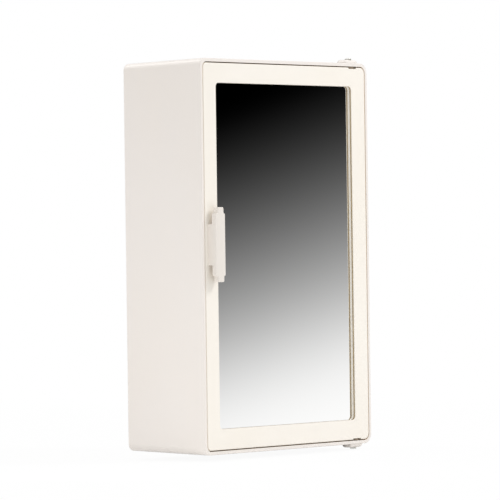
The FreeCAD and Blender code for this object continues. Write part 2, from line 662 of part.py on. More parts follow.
def make_strike_screws():
    seat = f"{DOOR_BACK} + strike_thick"
    head = (seat, f"{seat} + screw_head_thick")
    shank = (f"{PANEL_FRONT} - panel_screw_grip", seat)
    return make_screws("strike_screws", "y", head, shank, strike_screw_places())


def make_handle_screws():
    seat = f"{PANEL_FRONT} - handle_head_sink"
    head = (seat, f"{seat} + screw_head_thick")
    shank = (f"{FRONT} - handle_screw_grip", seat)
    return make_screws("handle_screws", "y", head, shank, handle_screw_places())


def make_catch_screws():
    seat = f"catch_pad_rise - {INNER_X} + ear_thick"
    head = (seat, f"{seat} + screw_head_thick")
    shank = (f"{seat} - ear_thick - catch_screw_grip", seat)
    return make_screws("catch_screws", "x", head, shank, catch_screw_places())


def make_strike_plate():
    body = new_body("strike_plate")
    outline = (f"{CATCH_X} - catch_width / 2", f"{CATCH_X} + catch_width / 2",
               "handle_height - strike_height / 2", "handle_height + strike_height / 2")
    grow(body, "strike", "y", (DOOR_BACK, f"{DOOR_BACK} + strike_thick"), outline)
    soften(body, "strike_corners", "strike_edge", lambda edge: runs(edge, "y"))
    holes = discs(strike_screw_places(), "screw_radius + screw_clear")
    cut(body, "strike_holes", "y", (DOOR_BACK, f"{DOOR_BACK} + strike_thick"), *holes)
    return body


def make_bumpers():
    body = new_body("door_bumpers")
    places = [(BUMPER_X, f"{sign}{BUMPER_Z}") for sign in ("", "-")]
    grow(body, "bumpers", "y", (DOOR_BACK, f"{DOOR_BACK} + bumper_thick"), *discs(places, "bumper_radius"))
    soften(body, "bumper_rounding", "bumper_edge", loop(body, "y", far=True))
    return body


def catch_box(half_width, half_height):
    """Rectangle about the catch's middle, seen from the front."""
    return (f"{CATCH_X} - ({half_width})", f"{CATCH_X} + {half_width}",
            f"handle_height - ({half_height})", f"handle_height + {half_height}")


def make_catch_housing():
    """Housing with a pocket for the magnet, and screw ears against the side wall."""
    body = new_body("catch_housing")
    back = f"{CATCH_FRONT} + catch_depth"
    grow(body, "housing", "y", (CATCH_FRONT, back), catch_box("catch_width / 2", "catch_height / 2"))
    middle = body.Tip.Shape.CenterOfMass.x
    soften(body, "housing_corners", "small_edge",
           lambda edge: runs(edge, "y") and edge.CenterOfMass.x > middle)
    soften(body, "housing_rounding", "small_edge", loop(body, "y", far=False))
    left, _, low, high = catch_box("catch_width / 2", "catch_height / 2 + ear_height")
    grow(body, "ears", "y", (f"{CATCH_FRONT} + ear_setback", back), (left, f"{left} + ear_thick", low, high))
    pocket = catch_box("magnet_width / 2 + pole_thick + magnet_play", "magnet_height / 2 + magnet_play")
    cut(body, "magnet_pocket", "y", (CATCH_FRONT, f"{CATCH_FRONT} + magnet_depth + magnet_play"), pocket)
    holes = discs(catch_screw_places(), "screw_radius + screw_clear")
    cut(body, "ear_holes", "x", (left, f"{left} + ear_thick"), *holes)
    return body


def make_catch_magnet():
    body = new_body("catch_magnet")
    deep = (CATCH_FRONT, f"{CATCH_FRONT} + magnet_depth")
    grow(body, "magnet", "y", deep, catch_box("magnet_width / 2", "magnet_height / 2"))
    return body


def make_catch_poles():
    """Two steel plates that carry the magnet's pull to the strike plate."""
    body = new_body("catch_poles")
    left, right, low, high = catch_box("magnet_width / 2", "magnet_height / 2")
    plates = ((f"{left} - pole_thick", left, low, high), (right, f"{right} + pole_thick", low, high))
    grow(body, "poles", "y", (f"{CATCH_FRONT} - pole_proud", f"{CATCH_FRONT} + magnet_depth"), *plates)
    return body


def write_parts(bodies):
    """Check every object of the document, then write each piece to its own file."""
    doc.recompute()
    failed = [item.Name for item in doc.Objects if {"Invalid", "Error"} & set(item.State)]
    failed += [body.Label for body in bodies if body.Shape.isNull() or not body.Shape.isValid()]
    if failed:
        raise RuntimeError(f"not built: {failed}")
    os.makedirs("parts", exist_ok=True)
    for body in bodies:
        body.Shape.exportStep(f"parts/{body.Label}.step")
        print(f"{body.Label}: {len(body.Shape.Solids)} solids, {body.Shape.Volume / 1000:.2f} cm3")


write_parts([
    make_shell(),
    make_shelf("shelf_upper", "upper_shelf"),
    make_shelf("shelf_lower", "lower_shelf"),
    make_hinge_pin("hinge_pin_top", ""),
    make_hinge_pin("hinge_pin_bottom", "-"),
    make_catch_housing(),
    make_catch_magnet(),
    make_catch_poles(),
    make_catch_screws(),
    make_door_frame(),
    make_mirror_glass(),
    make_mirror_pads(),
    make_back_panel(),
    make_panel_screws(),
    make_handle(),
    make_handle_screws(),
    make_strike_plate(),
    make_strike_screws(),
    make_bumpers(),
    make_hinge_bush("hinge_bush_top", ""),
    make_hinge_bush("hinge_bush_bottom", "-"),
])
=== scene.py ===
"""Dress the mirror cabinet: finishes for every piece, foam behind the glass, and a white studio stage."""
import math

import bmesh
import bpy
from bpy.props import FloatProperty, FloatVectorProperty, PointerProperty
from bpy.types import NodeSocket, Operator, Panel, PropertyGroup
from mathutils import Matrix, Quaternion, Vector


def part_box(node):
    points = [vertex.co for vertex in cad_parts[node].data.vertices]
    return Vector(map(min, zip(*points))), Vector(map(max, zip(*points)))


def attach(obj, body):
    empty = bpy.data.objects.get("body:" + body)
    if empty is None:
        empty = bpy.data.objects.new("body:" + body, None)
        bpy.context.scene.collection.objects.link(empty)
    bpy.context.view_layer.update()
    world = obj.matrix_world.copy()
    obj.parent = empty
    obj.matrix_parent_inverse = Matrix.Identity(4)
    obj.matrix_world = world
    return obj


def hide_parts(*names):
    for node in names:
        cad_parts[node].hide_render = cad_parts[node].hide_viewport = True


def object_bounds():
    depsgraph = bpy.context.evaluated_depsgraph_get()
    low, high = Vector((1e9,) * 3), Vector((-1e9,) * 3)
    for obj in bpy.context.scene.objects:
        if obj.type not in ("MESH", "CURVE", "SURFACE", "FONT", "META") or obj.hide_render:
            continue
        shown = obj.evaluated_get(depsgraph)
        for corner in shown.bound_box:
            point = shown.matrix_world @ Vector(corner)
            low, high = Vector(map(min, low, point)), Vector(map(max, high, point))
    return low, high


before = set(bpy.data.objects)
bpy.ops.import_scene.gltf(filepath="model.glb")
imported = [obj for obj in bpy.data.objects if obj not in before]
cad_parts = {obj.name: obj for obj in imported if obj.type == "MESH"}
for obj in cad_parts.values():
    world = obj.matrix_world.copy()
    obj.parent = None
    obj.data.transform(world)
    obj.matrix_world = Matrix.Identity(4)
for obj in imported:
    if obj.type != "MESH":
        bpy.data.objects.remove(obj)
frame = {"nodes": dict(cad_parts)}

bl_info = {
    "name": "Mirror cabinet",
    "version": (1, 0, 0),
    "blender": (4, 5, 0),
    "location": "3D View > Sidebar > Cabinet",
    "description": "Finishes for a moulded mirror cabinet, and a white studio stage round it",
    "category": "Object",
}

CAD_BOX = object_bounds()
NODES = frame["nodes"]
GLASS_LOW, GLASS_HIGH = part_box("mirror_glass")

WHITE = (1.0, 1.0, 1.0, 1.0)
# Width of the camera's sensor in millimetres
SENSOR_WIDTH = 36.0
# Metres within which two corners of a mesh count as one
SAME_POINT = 1e-6


def colour(name, description, default):
    return FloatVectorProperty(name=name, description=description, default=default, subtype="COLOR",
                               size=len(default), min=0.0, max=1.0)


def share(name, description, default):
    return FloatProperty(name=name, description=description, default=default, subtype="FACTOR",
                         min=0.0, max=1.0)


def length(name, description, default):
    return FloatProperty(name=name, description=description, default=default, subtype="DISTANCE",
                         unit="LENGTH")


def place(name, description, default):
    return FloatVectorProperty(name=name, description=description, default=default, subtype="TRANSLATION",
                               unit="LENGTH", size=len(default))


def angle(name, description, degrees):
    return FloatProperty(name=name, description=description, default=math.radians(degrees), subtype="ANGLE",
                         unit="ROTATION")


def power(name, description, default):
    return FloatProperty(name=name, description=description, default=default, min=0.0, unit="POWER")


class CabinetFinish(PropertyGroup):
    """Colours and gloss of the cabinet's materials."""

    shell: colour("Shell", "Moulded box", (0.848, 0.800, 0.758))
    frame: colour("Door frame", "Moulded frame round the mirror", (0.914, 0.868, 0.798))
    handle: colour("Handle", "Moulded pull", (0.806, 0.758, 0.706))
    shelf: colour("Shelves", "Moulded shelves", (0.880, 0.860, 0.820))
    silver: colour("Silver", "Silver behind the glass", (0.980, 0.979, 0.972))
    backing: colour("Mirror back", "Paint over the silver", (0.235, 0.255, 0.260))
    board: colour("Back panel", "Sheet that closes the back of the door", (0.830, 0.810, 0.760))
    zinc: colour("Zinc", "Plated pins and screws", (0.780, 0.780, 0.760))
    steel: colour("Steel", "Strike plate and poles", (0.560, 0.570, 0.575))
    ferrite: colour("Magnet", "Pressed ferrite", (0.060, 0.060, 0.064))
    catch: colour("Catch", "Moulded housing of the catch", (0.800, 0.780, 0.730))
    nylon: colour("Bushes", "Nylon bushes of the hinges", (0.200, 0.156, 0.112))
    rubber: colour("Bumpers", "Soft bumpers of the door", (0.560, 0.550, 0.520))
    foam: colour("Foam", "Foam strips behind the glass", (0.130, 0.130, 0.138))
    # Painted shade: tint that darkens and warms the plastic in narrow gaps, where shade falls
    gap: colour("Gap tone", "What narrow gaps leave of a plastic's colour", (0.96, 0.80, 0.56))
    # Painted shade: tint that darkens the frame's shadow groove round the mirror, where shade falls
    groove_shade: colour("Groove tone", "What a shadow groove leaves of a plastic's colour", (0.605, 0.54, 0.39))
    plastic_gloss: share("Plastic roughness", "Roughness of the moulded plastic", 0.30)


class CabinetForm(PropertyGroup):
    """Sizes of what is modelled here."""

    foam_round: length("Foam rounding", "Rounding along the foam strips", 0.0011)
    foam_waist: length("Foam waist", "How far the strips' sides draw in", 0.0005)
    edge_round: length("Edge softness", "Softness of the moulded edges in the light", 0.0004)
    # Reach of the occlusion test that marks where shade is painted in gaps and grooves
    shelter: length("Shelter", "Reach within which a surface counts as sheltered", 0.0019)


class CabinetStage(PropertyGroup):
    """Camera, lights, floor and backdrop."""

    azimuth: angle("Azimuth", "Camera round the cabinet, from straight in front", -52.70)
    elevation: angle("Elevation", "Camera above the level", 0.26)
    roll: angle("Roll", "Tilt of the camera", -0.77)
    distance: length("Distance", "Camera from the point that it looks at", 4.056)
    aim: place("Aim", "Point that the camera looks at", (0.0022, -0.0454, 0.0049))
    lens: FloatProperty(name="Lens", description="Focal length", default=316.8, unit="CAMERA")
    ambient: share("Ambient", "Light from all round", 0.81)
    key: power("Key light", "Soft light from above on the right", 13.0)
    key_size: length("Key size", "Side of the key light", 0.5)
    key_place: place("Key place", "Middle of the key light", (0.80, -1.35, 1.30))
    fill: power("Fill light", "Soft light low on the left", 0.080)
    fill_size: length("Fill size", "Side of the fill light", 0.10)
    fill_place: place("Fill place", "Middle of the fill light", (-0.42, -0.14, -0.13))
    top: power("Top light", "Soft light from above, behind the wall's plane", 1.7)
    top_size: length("Top size", "Side of the top light", 0.4)
    top_place: place("Top place", "Middle of the top light", (-0.22, 0.50, 0.85))
    side: power("Side light", "Soft light straight from the left", 1.4)
    side_size: length("Side size", "Side of the side light", 0.5)
    side_place: place("Side place", "Middle of the side light", (-1.50, -0.25, 0.05))
    floor_drop: length("Floor", "Floor below the cabinet", 0.001)
    floor_reach: length("Floor reach", "Radius of the floor", 1.40)
    floor_paint: colour("Floor paint", "Paint of the floor", (0.88, 0.88, 0.88))
    floor_glow: share("Floor glow", "How far the floor shows white close to the cabinet", 0.94)
    floor_near: share("Floor near", "Share of the floor's radius where its glow starts to rise", 0.25)
    floor_far: share("Floor far", "Share of the floor's radius where it is plain white", 0.95)
    ring_radius: length("Backdrop", "Radius of the graduated backdrop that the mirror shows", 1.5)
    ring_top: length("Backdrop top", "Height of the backdrop's upper edge", 0.80)
    ring_foot: length("Backdrop foot", "Height of the backdrop's lower edge", -1.20)
    ring_fade: length("Backdrop fade", "Height below which the backdrop dims towards its foot", -0.30)
    ring_dim: share("Backdrop dimness", "Brightness of the backdrop at its foot", 0.40)
    ring_dark: length("Backdrop, dark", "Height at which the backdrop is black", 0.242)
    ring_light: length("Backdrop, light", "Height at which the backdrop is white", -0.157)
    ring_lean: share("Backdrop lean", "How steeply the grading leans to one side", 0.38)
    ring_breadth: length("Backdrop breadth", "How far to each side the grading leans", 0.25)
    ring_shoulder: share("Backdrop shoulder", "How softly the grading runs out into white", 0.27)
    ring_curve: FloatProperty(name="Backdrop curve", description="How late the grading turns bright",
                              default=2.5, min=0.0)


def props(scene):
    """The scene's own settings: finish, form and stage."""
    return scene.cabinet_finish, scene.cabinet_form, scene.cabinet_stage


class Recipe:
    """One material's node tree, with short calls to add its nodes."""

    def __init__(self, name):
        self.material = bpy.data.materials.new(name)
        self.material.use_nodes = True
        self.tree = self.material.node_tree
        self.shader = self.tree.nodes["Principled BSDF"]
        self.place = self.node("ShaderNodeTexCoord").outputs["Object"]

    def feed(self, socket, value):
        """Join an output to a socket, or set the socket's own value."""
        if isinstance(value, NodeSocket):
            self.tree.links.new(value, socket)
        else:
            socket.default_value = value

    def node(self, kind, settings=None, **inputs):
        made = self.tree.nodes.new(kind)
        for key, value in (settings or {}).items():
            setattr(made, key, value)
        for key, value in inputs.items():
            self.feed(made.inputs[key.replace("_", " ")], value)
        return made

    def noise(self, scale, detail=3.0, at=None):
        made = self.node("ShaderNodeTexNoise", Vector=at or self.place, Scale=scale, Detail=detail)
        return made.outputs["Fac"]

    def streaks(self, scale, detail):
        """Noise with a scale of its own along each axis, so that it is drawn out along some."""
        drawn = self.node("ShaderNodeMapping", Vector=self.place, Scale=scale).outputs["Vector"]
        return self.noise(1.0, detail, drawn)

    def cells(self, scale, feature="F1"):
        made = self.node("ShaderNodeTexVoronoi", {"feature": feature}, Vector=self.place, Scale=scale)
        return made.outputs["Distance"]

    def along(self, axis):
        """The piece's own coordinate along one axis."""
        return self.node("ShaderNodeSeparateXYZ", Vector=self.place).outputs[axis]

    def maths(self, operation, *values):
        made = self.node("ShaderNodeMath", {"operation": operation})
        for socket, value in zip(made.inputs, values):
            self.feed(socket, value)
        return made.outputs["Value"]

    def dot(self, first, second):
        made = self.node("ShaderNodeVectorMath", {"operation": "DOT_PRODUCT"})
        self.feed(made.inputs[0], first)
        self.feed(made.inputs[1], second)
        return made.outputs["Value"]

    def span(self, value, low, high, start=0.0, end=1.0, clamp=True):
        """Carry a value from the range between start and end to the one between low and high."""
        made = self.node("ShaderNodeMapRange", {"clamp": clamp}, Value=value, From_Min=start, From_Max=end,
                         To_Min=low, To_Max=high)
        return made.outputs["Result"]

    def mix(self, factor, first, second):
        """Go from the first colour to the second as the factor rises."""
        made = self.node("ShaderNodeMix", {"data_type": "RGBA"})
        self.feed(made.inputs["Factor"], factor)
        for key, value in (("A", first), ("B", second)):
            self.feed(made.inputs[key], value if isinstance(value, NodeSocket) else (*value, 1.0))
        return made.outputs["Result"]

    def rounded(self, radius):
        """Normals that run softly over sharp edges."""
        return self.node("ShaderNodeBevel", {"samples": 4}, Radius=radius).outputs["Normal"]

    def edges(self, normal):
        """High where the softened normal leaves the face's own, which is along the edges."""
        own = self.node("ShaderNodeNewGeometry").outputs["Normal"]
        return self.span(self.dot(own, normal), 1.0, 0.0, start=0.75, end=1.0)

    def shelter(self, reach, full, none, own=False):
        """High where little of the surroundings, or of the piece's own surroundings, is open: the mask for
        painted shade.
        """
        made = self.node("ShaderNodeAmbientOcclusion", {"samples": 8, "only_local": own}, Distance=reach)
        return self.span(made.outputs["AO"], 1.0, 0.0, start=full, end=none)

    def relief(self, height, strength, depth, normal=None):
        made = self.node("ShaderNodeBump", Height=height, Strength=strength, Distance=depth)
        if normal is not None:
            self.feed(made.inputs["Normal"], normal)
        return made.outputs["Normal"]

    def finish(self, **inputs):
        """Set or join the shader's own sockets."""
        for key, value in inputs.items():
            is_colour = not isinstance(value, (NodeSocket, float))
            self.feed(self.shader.inputs[key.replace("_", " ")], (*value, 1.0) if is_colour else value)
        return self.material

    def surface(self, output):
        """Show another shader in place of the usual one."""
        self.feed(self.tree.nodes["Material Output"].inputs["Surface"], output)
        self.tree.nodes.remove(self.shader)
        return self.material


def tinted(base, factors):
    """A colour with each channel scaled."""
    return tuple(channel * factor for channel, factor in zip(base, factors))


def shaded(base, factor):
    """A colour with all channels scaled alike."""
    return tinted(base, (factor, factor, factor))


def moulded_plastic(name, base, finish, form, paint_groove_shade=False):
    """Injection-moulded plastic: slow drift of tone, fine flow marks, orange peel, lower roughness and a
    painted sheen (lighter, cooler tone) along the edges, and painted shade in narrow gaps and grooves.
    """
    recipe = Recipe(name)
    normal = recipe.rounded(form.edge_round)
    edges = recipe.edges(normal)
    drift = recipe.span(recipe.noise(scale=7.0, detail=2.0), 0.0, 1.0, start=0.3, end=0.7)
    flow = recipe.streaks(scale=(60.0, 60.0, 9.0), detail=4.0)
    flow = recipe.span(flow, 0.0, 0.30, start=0.35, end=0.75)
    # Painted sheen: a lighter, cooler tone along the edges, where they would catch the light
    edge_sheen = recipe.maths("MULTIPLY", edges, 0.35)
    tone = recipe.mix(drift, base, tinted(base, (0.985, 0.975, 0.955)))
    tone = recipe.mix(flow, tone, tinted(base, (0.975, 0.978, 0.985)))
    tone = recipe.mix(edge_sheen, tone, tinted(base, (1.04, 1.045, 1.06)))
    # Painted shade: the piece's own narrow grooves, found by occlusion, are darkened and warmed
    if paint_groove_shade:
        groove_shade = recipe.shelter(form.shelter, full=0.62, none=0.85, own=True)
        tone = recipe.mix(groove_shade, tone, tinted(base, finish.groove_shade))
    # Painted shade: narrow gaps, found by occlusion, are darkened and warmed
    gap = recipe.shelter(form.shelter, full=0.26, none=0.50)
    tone = recipe.mix(gap, tone, tinted(base, finish.gap))
    fine_peel = recipe.maths("MULTIPLY", recipe.noise(scale=2600.0, detail=1.0), 0.35)
    peel = recipe.maths("ADD", recipe.noise(scale=650.0, detail=2.0), fine_peel)
    gloss = recipe.span(recipe.noise(scale=34.0), finish.plastic_gloss - 0.05, finish.plastic_gloss + 0.06)
    gloss = recipe.maths("SUBTRACT", gloss, recipe.maths("MULTIPLY", edges, 0.06))
    return recipe.finish(Base_Color=tone, Roughness=gloss, IOR=1.49,
                         Normal=recipe.relief(peel, strength=0.10, depth=0.0001, normal=normal))


def matt_plastic(name, base, roughness, grain):
    """Plastic from an etched mould: even pebble grain and a dull sheen."""
    recipe = Recipe(name)
    pebble = recipe.cells(grain, "SMOOTH_F1")
    drift = recipe.span(recipe.noise(scale=16.0), 0.0, 1.0, start=0.3, end=0.7)
    hollows = recipe.span(pebble, 0.0, 0.25, start=0.2, end=0.8)
    tone = recipe.mix(drift, base, tinted(base, (0.95, 0.945, 0.93)))
    tone = recipe.mix(hollows, tone, shaded(base, 0.90))
    gloss = recipe.span(recipe.noise(scale=90.0), roughness - 0.06, roughness + 0.08)
    return recipe.finish(Base_Color=tone, Roughness=gloss, IOR=1.48,
                         Normal=recipe.relief(pebble, strength=0.35, depth=0.00012))


def silvered_glass(name, silver, backing):
    """Mirror: silver under clear glass with faint wiping marks, and paint over the silver at the back."""
    recipe = Recipe(name)
    depth = GLASS_HIGH.y - GLASS_LOW.y
    paint_start = GLASS_LOW.y + 0.6 * depth
    paint_full = GLASS_LOW.y + 0.7 * depth
    behind = recipe.span(recipe.along("Y"), 0.0, 1.0, start=paint_start, end=paint_full)
    wipes = recipe.streaks(scale=(26.0, 26.0, 7.0), detail=5.0)
    paint = recipe.mix(recipe.noise(scale=120.0), backing, shaded(backing, 0.8))
    smears = recipe.span(wipes, 0.0, 0.12, start=0.4, end=0.8)
    bright = recipe.mix(smears, silver, tinted(silver, (0.93, 0.95, 0.96)))
    haze = recipe.span(wipes, 0.0, 0.022, start=0.45, end=0.85)
    return recipe.finish(Base_Color=recipe.mix(behind, bright, paint),
                         Metallic=recipe.span(behind, 1.0, 0.0),
                         Roughness=recipe.maths("ADD", haze, recipe.maths("MULTIPLY", behind, 0.5)))


def zinc_plate(name, base):
    """Satin zinc: uneven plating with a faint straw tint, and fine turning marks."""
    recipe = Recipe(name)
    straw = recipe.span(recipe.noise(scale=180.0), 0.0, 0.6, start=0.35, end=0.7)
    tone = recipe.mix(straw, base, tinted(base, (1.02, 0.97, 0.86)))
    marks = recipe.streaks(scale=(900.0, 900.0, 3500.0), detail=2.0)
    gloss = recipe.span(recipe.noise(scale=420.0), 0.48, 0.64)
    return recipe.finish(Base_Color=tone, Metallic=1.0, Roughness=gloss,
                         Normal=recipe.relief(marks, strength=0.12, depth=0.00005))


def brushed_steel(name, base):
    """Bare steel, brushed lengthways, with a few darker spots."""
    recipe = Recipe(name)
    brush = recipe.streaks(scale=(5200.0, 5200.0, 70.0), detail=4.0)
    spots = recipe.span(recipe.noise(scale=240.0, detail=5.0), 0.0, 0.5, start=0.6, end=0.8)
    tone = recipe.mix(spots, base, tinted(base, (0.62, 0.56, 0.50)))
    gloss = recipe.span(brush, 0.26, 0.46)
    return recipe.finish(Base_Color=tone, Metallic=1.0, Roughness=gloss,
                         Normal=recipe.relief(brush, strength=0.25, depth=0.00006))


def pressed_ferrite(name, base):
    """Dull ceramic magnet: grains and small chips."""
    recipe = Recipe(name)
    grain = recipe.cells(scale=1900.0)
    tone = recipe.mix(recipe.span(grain, 0.0, 1.0, start=0.1, end=0.7), shaded(base, 1.5), base)
    return recipe.finish(Base_Color=tone, Roughness=recipe.span(grain, 0.55, 0.8),
                         Normal=recipe.relief(grain, strength=0.5, depth=0.00015))


def turned_nylon(name, base):
    """Brown nylon with fine rings and a waxy sheen."""
    recipe = Recipe(name)
    rings = recipe.streaks(scale=(300.0, 300.0, 4200.0), detail=2.0)
    tone = recipe.mix(recipe.noise(scale=220.0), base, tinted(base, (1.5, 1.4, 1.3)))
    return recipe.finish(Base_Color=tone, Roughness=recipe.span(rings, 0.34, 0.52), IOR=1.53,
                         Normal=recipe.relief(rings, strength=0.2, depth=0.00008))


def soft_rubber(name, base):
    """Soft pad: cloudy tone, clinging dust and a dry surface."""
    recipe = Recipe(name)
    dust = recipe.span(recipe.noise(scale=900.0, detail=4.0), 0.0, 0.45, start=0.5, end=0.75)
    tone = recipe.mix(dust, base, shaded(base, 1.25))
    return recipe.finish(Base_Color=tone, Roughness=recipe.span(dust, 0.5, 0.8),
                         Normal=recipe.relief(recipe.noise(scale=1500.0), strength=0.2, depth=0.0001))


def open_foam(name, base):
    """Foam strip: small torn cells, with painted shade in their pits."""
    recipe = Recipe(name)
    cells = recipe.cells(scale=1100.0)
    # Painted shade: the cells' pits are painted darker, as shade inside the pores
    tone = recipe.mix(recipe.span(cells, 0.0, 1.0, start=0.05, end=0.6), shaded(base, 0.35), base)
    return recipe.finish(Base_Color=tone, Roughness=0.92,
                         Normal=recipe.relief(cells, strength=0.8, depth=0.0005))


def dress(material, *nodes):
    """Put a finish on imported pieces."""
    for name in nodes:
        NODES[name].material_slots[0].material = material


class DressShell(Operator):
    """Finish the moulded box"""

    bl_idname = "cabinet.dress_shell"
    bl_label = "Shell"

    def execute(self, context):
        finish, form, _ = props(context.scene)
        dress(moulded_plastic("shell_plastic_finish", finish.shell, finish, form), "cabinet_shell")
        return {"FINISHED"}


class DressShelves(Operator):
    """Finish the two shelves"""

    bl_idname = "cabinet.dress_shelves"
    bl_label = "Shelves"

    def execute(self, context):
        finish, form, _ = props(context.scene)
        dress(moulded_plastic("shelf_plastic_finish", finish.shelf, finish, form),
              "shelf_upper", "shelf_lower")
        return {"FINISHED"}


class DressDoorFrame(Operator):
    """Finish the moulded frame of the door"""

    bl_idname = "cabinet.dress_door_frame"
    bl_label = "Door frame"

    def execute(self, context):
        finish, form, _ = props(context.scene)
        dress(moulded_plastic("frame_plastic_finish", finish.frame, finish, form, paint_groove_shade=True), "door_frame")
        return {"FINISHED"}


class DressMirror(Operator):
    """Finish the mirror glass"""

    bl_idname = "cabinet.dress_mirror"
    bl_label = "Mirror"

    def execute(self, context):
        finish = props(context.scene)[0]
        dress(silvered_glass("mirror_finish", finish.silver, finish.backing), "mirror_glass")
        return {"FINISHED"}


class DressHandle(Operator):
    """Finish the pull on the door"""

    bl_idname = "cabinet.dress_handle"
    bl_label = "Handle"

    def execute(self, context):
        finish, form, _ = props(context.scene)
        dress(moulded_plastic("handle_plastic_finish", finish.handle, finish, form), "door_handle")
        return {"FINISHED"}


class DressBackPanel(Operator):
    """Finish the sheet behind the mirror"""

    bl_idname = "cabinet.dress_back_panel"
    bl_label = "Back panel"

    def execute(self, context):
        finish = props(context.scene)[0]
        dress(matt_plastic("panel_finish", finish.board, roughness=0.52, grain=900.0), "door_back_panel")
        return {"FINISHED"}


class DressHinges(Operator):
    """Finish the hinge pins and their bushes"""

    bl_idname = "cabinet.dress_hinges"
    bl_label = "Hinges"

    def execute(self, context):
        finish = props(context.scene)[0]
        dress(zinc_plate("pin_finish", finish.zinc), "hinge_pin_top", "hinge_pin_bottom")
        dress(turned_nylon("bush_finish", finish.nylon), "hinge_bush_top", "hinge_bush_bottom")
        return {"FINISHED"}


class DressCatch(Operator):
    """Finish the magnetic catch and its strike plate"""

    bl_idname = "cabinet.dress_catch"
    bl_label = "Catch"

    def execute(self, context):
        finish = props(context.scene)[0]
        dress(matt_plastic("catch_finish", finish.catch, roughness=0.45, grain=1500.0), "catch_housing")
        dress(pressed_ferrite("magnet_finish", finish.ferrite), "catch_magnet")
        dress(brushed_steel("strike_finish", finish.steel), "catch_poles", "strike_plate")
        return {"FINISHED"}


class DressScrews(Operator):
    """Finish the screws of the door, handle and catch"""

    bl_idname = "cabinet.dress_screws"
    bl_label = "Screws"

    def execute(self, context):
        dress(zinc_plate("screw_finish", props(context.scene)[0].zinc),
              "panel_screws", "handle_screws", "strike_screws", "catch_screws")
        return {"FINISHED"}


class DressBumpers(Operator):
    """Finish the bumpers behind the door"""

    bl_idname = "cabinet.dress_bumpers"
    bl_label = "Bumpers"

    def execute(self, context):
        dress(soft_rubber("bumper_finish", props(context.scene)[0].rubber), "door_bumpers")
        return {"FINISHED"}


def solid_boxes(node):
    """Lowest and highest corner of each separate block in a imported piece."""
    mesh = bmesh.new()
    mesh.from_mesh(NODES[node].data)
    bmesh.ops.remove_doubles(mesh, verts=mesh.verts, dist=SAME_POINT)
    left = set(mesh.verts)
    boxes = []
    while left:
        queue = [left.pop()]
        corners = list(queue)
        while queue:
            corner = queue.pop()
            near = {edge.other_vert(corner) for edge in corner.link_edges} & left
            left -= near
            queue += near
            corners += near
        points = [corner.co for corner in corners]
        boxes.append([Vector(pick(point[axis] for point in points) for axis in range(3))
                      for pick in (min, max)])
    mesh.free()
    return sorted(boxes, key=lambda box: tuple(box[0]))


class AddFoam(Operator):
    """Model the foam strips behind the mirror, with rounded and slightly waisted sides"""

    bl_idname = "cabinet.add_foam"
    bl_label = "Foam strips"

    def execute(self, context):
        finish, form, _ = props(context.scene)
        mesh = bmesh.new()
        for low, high in solid_boxes("mirror_pads"):
            self.add_strip(mesh, low, high, form)
        data = bpy.data.meshes.new("foam_strips")
        mesh.to_mesh(data)
        mesh.free()
        strips = bpy.data.objects.new("foam_strips", data)
        context.scene.collection.objects.link(strips)
        data.materials.append(open_foam("foam_finish", finish.foam))
        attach(strips, "door")
        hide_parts("mirror_pads")
        return {"FINISHED"}

    def add_strip(self, mesh, low, high, form):
        """One strip: a ring of points round its section at each end, drawn in at half depth."""
        along = max(range(3), key=lambda axis: high[axis] - low[axis])
        across = next(axis for axis in (0, 2) if axis != along)
        inset = form.foam_round
        section = self.rounded_corners(steps=6)
        rings = []
        for end in (low, high):
            ring = []
            for is_high, is_back, turn_x, turn_y in section:
                point = Vector(end)
                side = high[across] - inset if is_high else low[across] + inset
                depth = high.y - inset if is_back else low.y + inset
                point[across] = side + inset * turn_x - math.copysign(form.foam_waist, turn_x) * abs(turn_x)
                point.y = depth + inset * turn_y
                ring.append(mesh.verts.new(point))
            rings.append(ring)
        for first, second, third, fourth in zip(rings[0], rings[0][1:] + rings[0][:1],
                                                rings[1][1:] + rings[1][:1], rings[1]):
            mesh.faces.new((first, second, third, fourth))
        mesh.faces.new(reversed(rings[0]))
        mesh.faces.new(rings[1])
        bmesh.ops.recalc_face_normals(mesh, faces=mesh.faces)

    def rounded_corners(self, steps):
        """Which corner of a section each point belongs to, and its direction from the corner's centre."""
        points = []
        for quarter, (is_high, is_back) in enumerate(((1, 1), (0, 1), (0, 0), (1, 0))):
            for step in range(steps + 1):
                turn = math.radians(90.0) * (quarter + step / steps)
                points.append((is_high, is_back, math.cos(turn), math.sin(turn)))
        return points


def seen_directly(tree):
    """One for rays from the camera, mirrors and clear pieces, and zero for light that falls on a surface."""
    path = tree.nodes.new("ShaderNodeLightPath")
    total = path.outputs["Is Camera Ray"]
    for name in ("Is Glossy Ray", "Is Transmission Ray"):
        step = tree.nodes.new("ShaderNodeMath")
        step.operation = "MAXIMUM"
        tree.links.new(total, step.inputs[0])
        tree.links.new(path.outputs[name], step.inputs[1])
        total = step.outputs["Value"]
    return total


